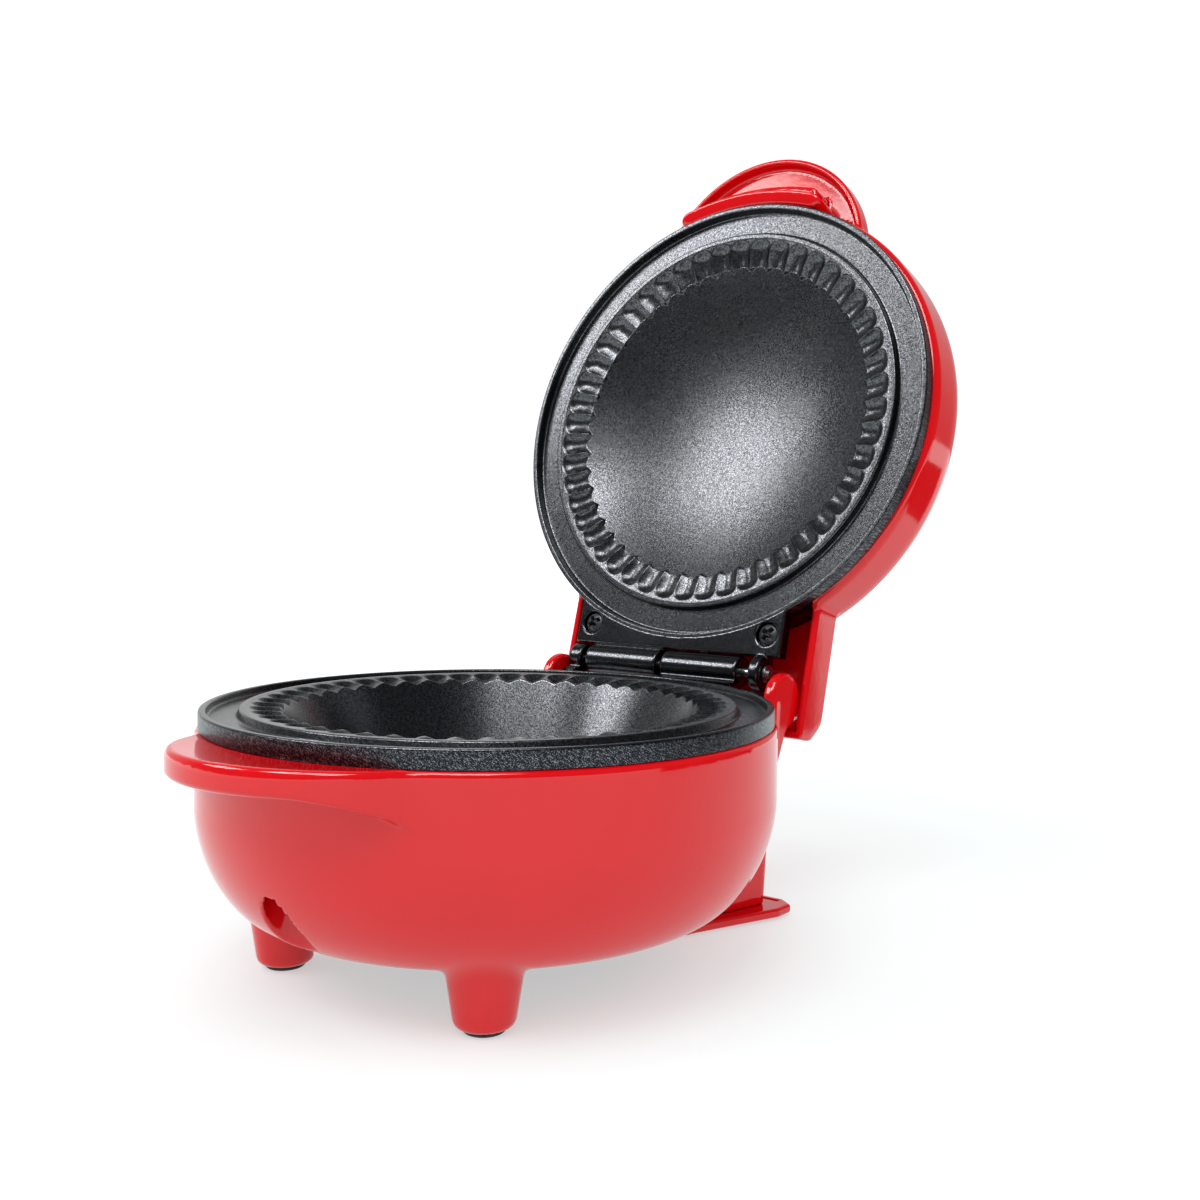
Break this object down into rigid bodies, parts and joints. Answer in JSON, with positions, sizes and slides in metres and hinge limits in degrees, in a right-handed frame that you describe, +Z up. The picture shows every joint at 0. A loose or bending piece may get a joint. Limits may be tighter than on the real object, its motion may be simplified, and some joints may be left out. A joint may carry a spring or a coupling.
{
  "type": "pie maker",
  "caption": "Round table-top pie maker: bowl-shaped base and domed lid, fluted cast plates, barrel hinge, half-moon handles, feet and a rear stand.",
  "frame": {"origin": "the point where the bowl's vertical axis meets the plane the feet stand on", "axes": "+Z up; -Y towards the handles at the front; +Y towards the hinge at the back; +X to the right seen from the front"},
  "size_m": [0.153, 0.242, 0.2428],
  "materials": {
    "red_shell": "high-gloss moulded plastic",
    "black_cover": "moulded plastic",
    "pad_rubber": "soft rubber",
    "gland_rubber": "soft rubber",
    "cast_plate": "cast aluminium with a dark speckled non-stick coat",
    "black_screw": "blackened steel",
    "steel": "zinc-plated steel",
    "element": "heat-darkened tube",
    "reflector": "bright sheet",
    "ceramic": "steatite ceramic",
    "wire": "braided glass sleeve",
    "lamp": "neon lamp",
    "lens_red": "tinted clear lens",
    "lens_green": "tinted clear lens"
  },
  "bodies": {
    "base": {"base_shell": "red_shell", "bottom_cover": "black_cover", "bottom_cover_screws": "steel", "rear_stand": "red_shell", "rear_stand_screws": "steel", "front_foot_pads": "pad_rubber", "rear_foot_pads": "pad_rubber", "cord_gland": "gland_rubber", "lower_plate": "cast_plate", "lower_plate_screws": "black_screw", "lower_element": "element", "lower_element_clips": "steel", "lower_reflector": "reflector", "thermostat": "ceramic", "thermal_fuse": "ceramic", "terminal_block": "ceramic", "base_wiring": "wire", "hinge_pin": "steel", "pin_clip": "steel"},
    "lid": {"lid_shell": "red_shell", "upper_plate": "cast_plate", "upper_plate_screws": "black_screw", "upper_element": "element", "upper_element_clips": "steel", "upper_reflector": "reflector", "lamp_holder": "ceramic", "neon_lamps": "lamp", "power_lens": "lens_red", "ready_lens": "lens_green", "lid_wiring": "wire"}
  },
  "joints": [
    {"name": "lid_hinge", "type": "hinge", "parent": "base", "child": "lid", "pos_m": [0, 0.0837, 0.07], "axis": [-1, 0, 0], "range_deg": [-105.4, 0]}
  ]
}
